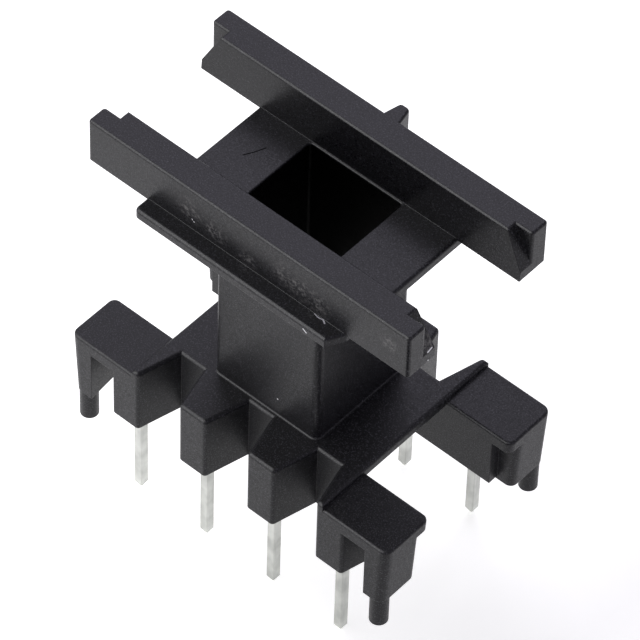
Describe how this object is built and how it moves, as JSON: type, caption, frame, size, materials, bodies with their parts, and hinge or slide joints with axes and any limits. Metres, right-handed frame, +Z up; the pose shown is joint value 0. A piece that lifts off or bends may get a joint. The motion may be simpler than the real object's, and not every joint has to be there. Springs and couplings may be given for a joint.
{
  "type": "transformer coil former",
  "caption": "Upright square coil former between two flanges, with core rails above, wire slots and solder pins in two rows below.",
  "frame": {"origin": "centre of the pin field on the plane of the pin tips", "axes": "+X along the pin rows and the core rails, +Z up from the pins to the rails; the marking rib is on the rail at +Y"},
  "size_m": [0.0232, 0.0138, 0.0277],
  "materials": {
    "moulding": "black glass-filled phenolic, fine moulded grain",
    "tinned_wire": "tinned copper-clad steel wire"
  },
  "bodies": {
    "root": {"coil_former": "moulding", "pin_1": "tinned_wire", "pin_2": "tinned_wire", "pin_3": "tinned_wire", "pin_4": "tinned_wire", "pin_5": "tinned_wire", "pin_6": "tinned_wire", "pin_7": "tinned_wire", "pin_8": "tinned_wire"}
  },
  "joints": []
}
